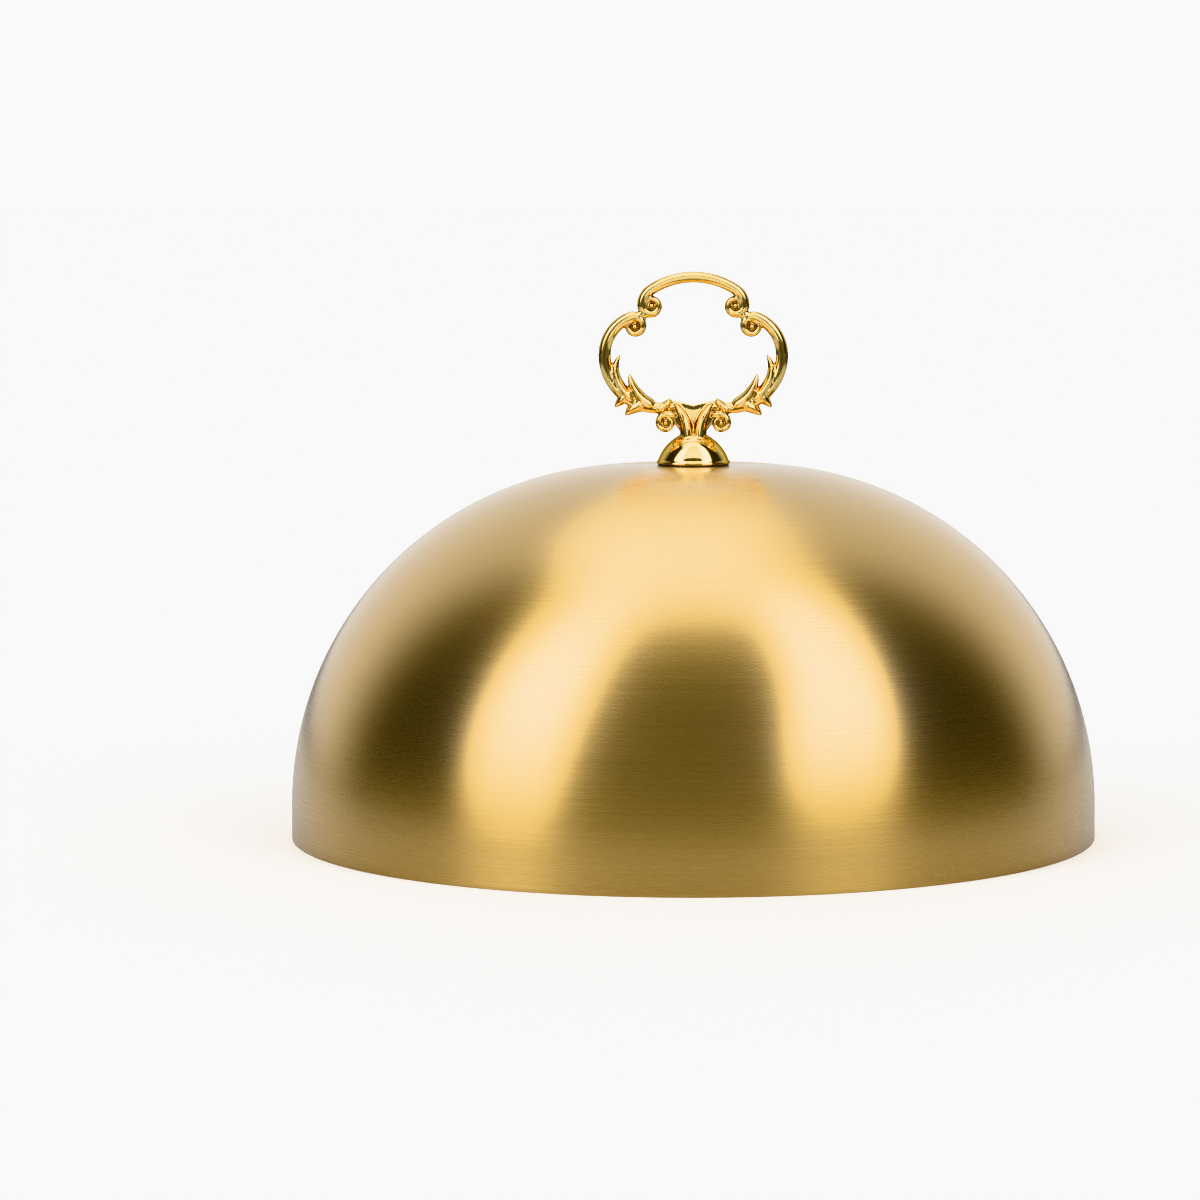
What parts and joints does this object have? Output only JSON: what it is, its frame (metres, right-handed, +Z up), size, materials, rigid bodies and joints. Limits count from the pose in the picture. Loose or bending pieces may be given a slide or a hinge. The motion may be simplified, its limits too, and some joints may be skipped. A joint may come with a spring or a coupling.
{
  "type": "melting dome",
  "caption": "Round spun-sheet melting dome with a short straight skirt, a flat top and a cast scroll-and-leaf loop handle, lowered over food to hold in heat and steam.",
  "frame": {"origin": "on the dome's axis, in the plane that its rim stands on", "axes": "+Z up along the dome's axis, +X along the handle's width, -Y towards the viewer of the handle's face"},
  "size_m": [0.2, 0.2, 0.14],
  "materials": {
    "dome": "fine brushing round the axis under a pale gold coating",
    "handle": "polished gold plate",
    "gasket": "matt black rubber",
    "fixing": "plain stainless steel"
  },
  "bodies": {
    "root": {"dome_shell": "dome", "seat_gasket": "gasket", "handle": "handle", "flat_washer": "fixing", "spring_washer": "fixing", "fixing_screw": "fixing"}
  },
  "joints": []
}
